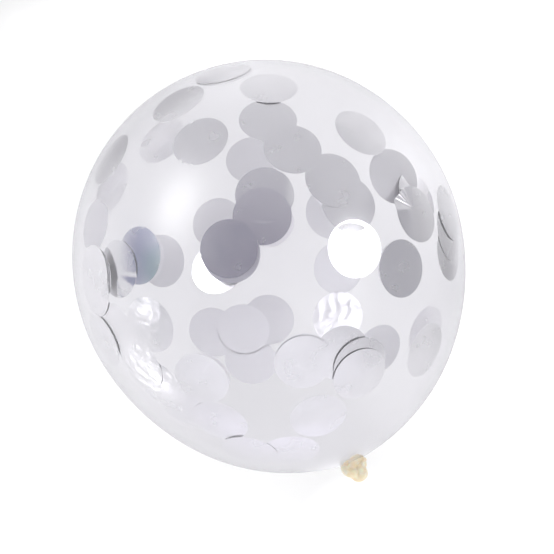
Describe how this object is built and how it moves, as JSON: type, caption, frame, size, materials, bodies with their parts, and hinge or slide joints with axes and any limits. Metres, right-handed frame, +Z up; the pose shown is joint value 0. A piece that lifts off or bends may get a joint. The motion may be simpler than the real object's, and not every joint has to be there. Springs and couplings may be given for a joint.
{
  "type": "confetti balloon",
  "caption": "Clear blown-up latex balloon with loose silver foil discs sealed inside, tied with an overhand knot and lying on its side.",
  "frame": {"origin": "centre of the small flat spot on the balloon's side that it lies on", "axes": "+Z up; the balloon's own axis is level along Y, with the crown towards +Y and the knot towards -Y; +X to the right of the knot seen from above with the crown at the top"},
  "size_m": [0.3, 0.3384, 0.2984],
  "materials": {
    "clear_latex": "clear glossy film",
    "knot_latex": "cream, satin",
    "silver_foil": "bright foil"
  },
  "bodies": {
    "root": {"balloon": "clear_latex"}
  },
  "joints": []
}
